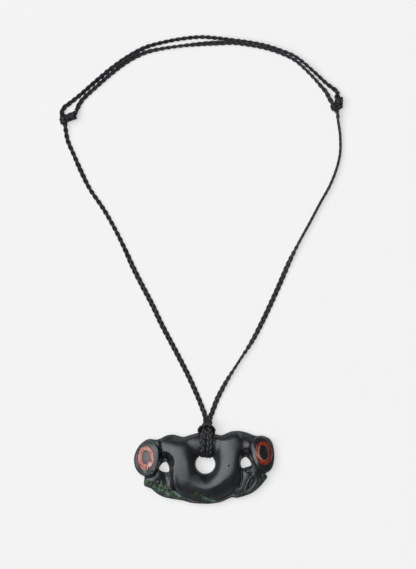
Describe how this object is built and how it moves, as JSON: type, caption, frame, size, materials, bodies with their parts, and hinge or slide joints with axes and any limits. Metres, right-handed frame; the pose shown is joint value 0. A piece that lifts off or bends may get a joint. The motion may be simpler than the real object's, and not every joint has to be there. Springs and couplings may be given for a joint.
{
  "type": "bat pendant on a plaited cord",
  "caption": "Carved dark greenstone pendant in the form of a two-headed bat, with red inlaid eye rings, hitched to an adjustable plaited neck cord with sliding knots.",
  "frame": {"origin": "on the surface that the pendant lies on, under the middle of the carved stone", "axes": "+X across the stone towards its right head, +Y from the stone's lower edge towards the cord loop, +Z out of the carved front"},
  "size_m": [0.1419, 0.2341, 0.0091],
  "materials": {
    "greenstone": "satin polished",
    "inlay_left": "worn wax",
    "inlay_right": "glossy wax",
    "waxed_cord": "waxed plait"
  },
  "bodies": {
    "root": {"stone": "greenstone", "eye_ring_left": "inlay_left", "eye_ring_right": "inlay_right", "hitch": "waxed_cord", "cord_left": "waxed_cord", "cord_right": "waxed_cord", "knot_left": "waxed_cord", "knot_right": "waxed_cord"}
  },
  "joints": []
}
